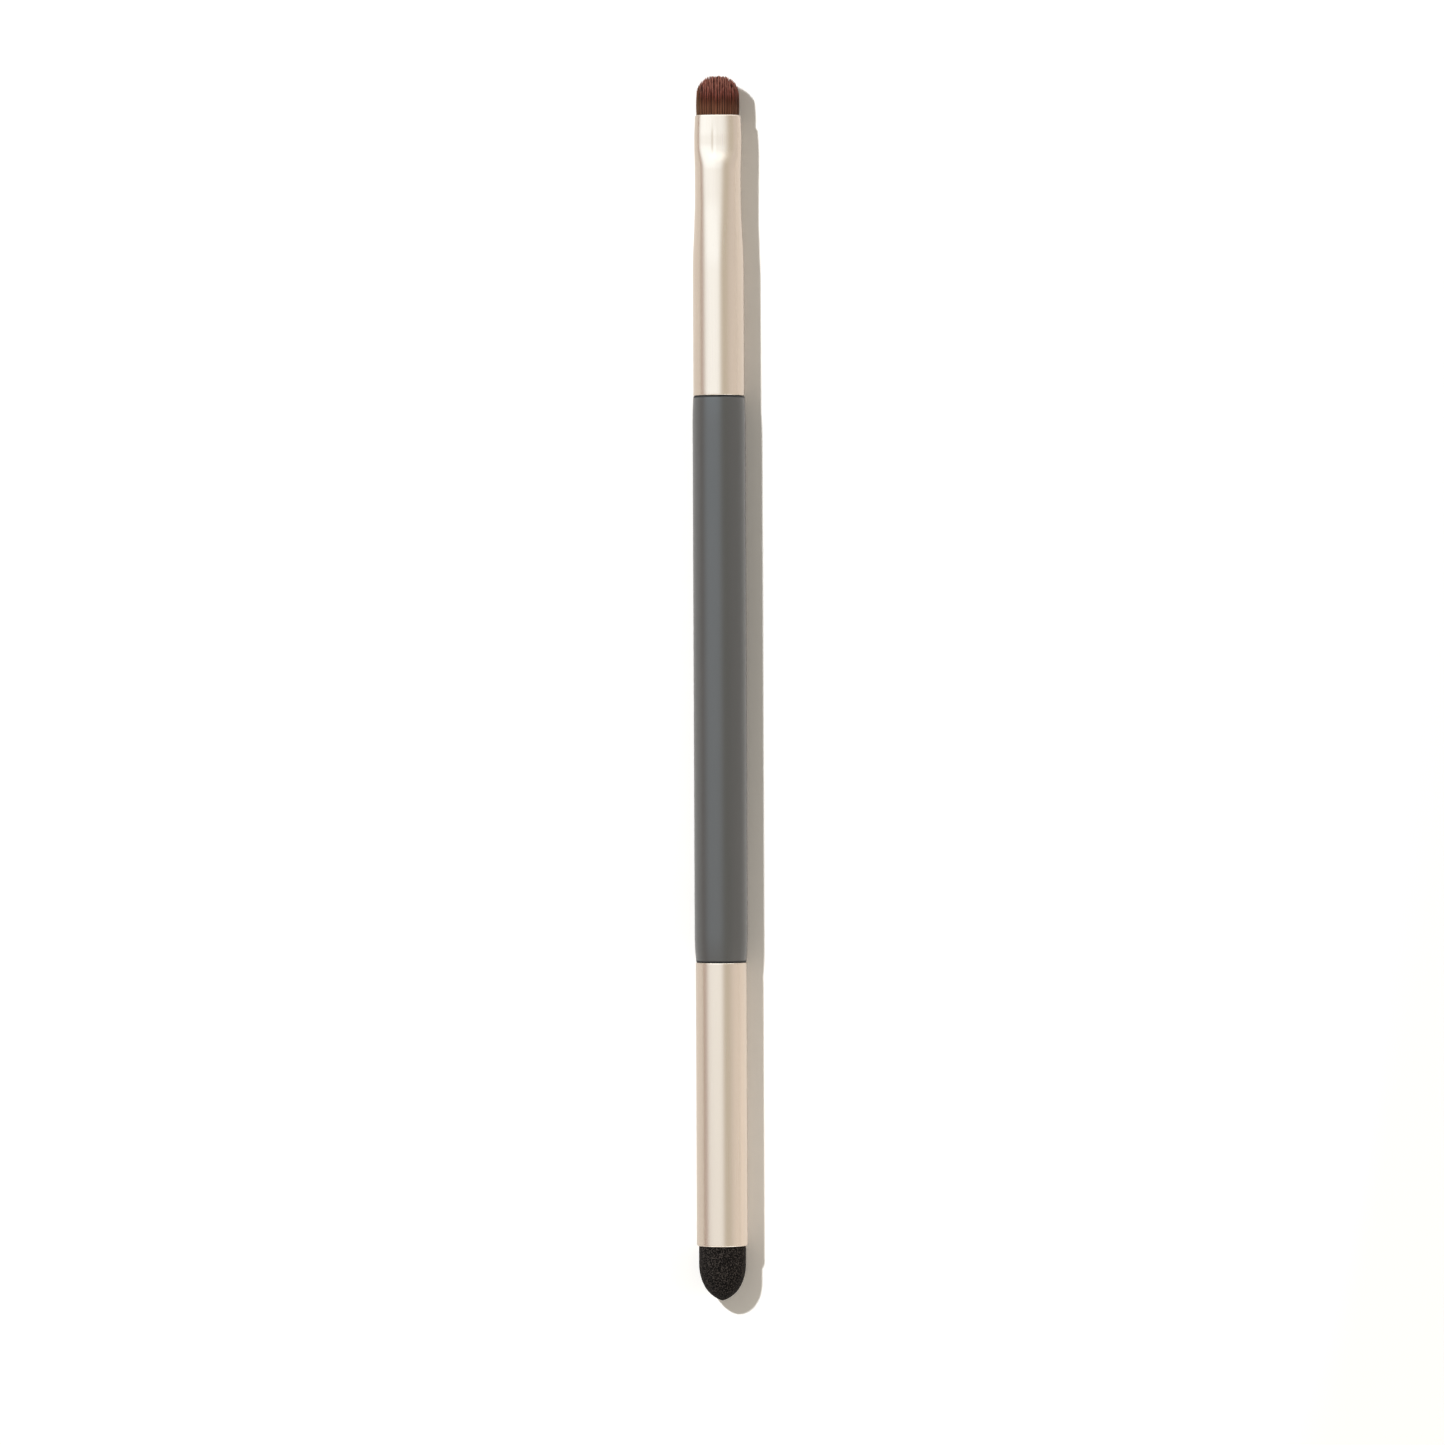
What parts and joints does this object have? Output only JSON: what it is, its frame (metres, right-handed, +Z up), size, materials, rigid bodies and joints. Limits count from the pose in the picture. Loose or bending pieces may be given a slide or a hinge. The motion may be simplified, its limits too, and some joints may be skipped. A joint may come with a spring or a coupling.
{
  "type": "eye smudge brush",
  "caption": "Double-ended eye smudge brush: a short domed bristle tuft in a pinched ferrule at one end, a pointed foam sponge at the other, on a straight matt grey handle.",
  "frame": {"origin": "on the surface that the brush lies on, under the middle of its whole length", "axes": "+Y along the brush towards the bristles, -Y towards the sponge, +Z up, across the flats of the pinched ferrule"},
  "size_m": [0.0076, 0.1764, 0.0076],
  "materials": {
    "handle_lacquer": "turned wood under a matt dark grey soft-touch lacquer",
    "ferrule_aluminium": "satin champagne anodised aluminium, drawn tube",
    "bristles": "fine dyed bristles, reddish at the tips and brown at the root",
    "resin": "set glue resin, hidden in the ferrule",
    "foam": "fine open-cell black foam",
    "stem_plastic": "moulded white plastic, hidden in the ferrule and the foam"
  },
  "bodies": {
    "root": {"handle": "handle_lacquer", "brush_ferrule": "ferrule_aluminium", "bristle_tuft": "bristles", "tuft_glue_plug": "resin", "sponge_ferrule": "ferrule_aluminium", "sponge_tip": "foam", "sponge_stem": "stem_plastic"}
  },
  "joints": []
}
